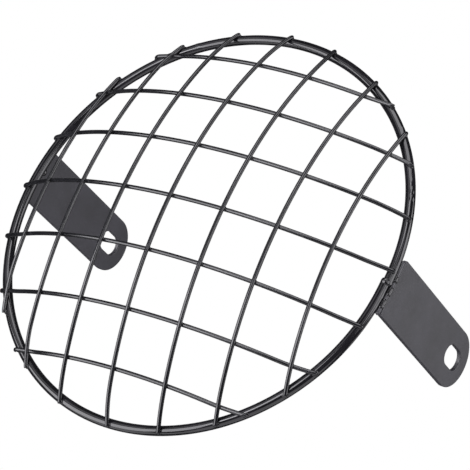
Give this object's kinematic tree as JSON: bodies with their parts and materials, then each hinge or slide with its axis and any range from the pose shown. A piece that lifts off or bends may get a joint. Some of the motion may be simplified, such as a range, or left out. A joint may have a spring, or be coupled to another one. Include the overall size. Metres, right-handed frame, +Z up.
{
  "type": "headlight mesh grille",
  "caption": "Domed wire mesh guard for a round motorbike headlight: a rod rim, crossed wires hooked over it, and a slotted mounting tab at each side.",
  "frame": {"origin": "centre of the rim, on the mid-plane of its rod", "axes": "+X across to the right-hand tab, +Y back from the rim along the tabs towards the lamp, -Y out of the front of the dome, +Z up, as mounted"},
  "size_m": [0.1914, 0.1135, 0.1914],
  "materials": {
    "painted_rod": "black gloss paint on steel rod",
    "painted_wire": "black gloss paint on steel wire",
    "painted_strip": "black satin paint on steel strip",
    "painted_weld": "black gloss paint over weld"
  },
  "bodies": {
    "root": {"rim_ring": "painted_rod", "rim_butt_weld": "painted_weld", "upright_wire_1": "painted_wire", "upright_wire_2": "painted_wire", "upright_wire_3": "painted_wire", "upright_wire_4": "painted_wire", "upright_wire_5": "painted_wire", "upright_wire_6": "painted_wire", "upright_wire_7": "painted_wire", "cross_wire_1": "painted_wire", "cross_wire_2": "painted_wire", "cross_wire_3": "painted_wire", "cross_wire_4": "painted_wire", "cross_wire_5": "painted_wire", "cross_wire_6": "painted_wire", "cross_wire_7": "painted_wire", "left_tab": "painted_strip", "right_tab": "painted_strip", "left_tab_welds": "painted_weld", "right_tab_welds": "painted_weld"}
  },
  "joints": []
}
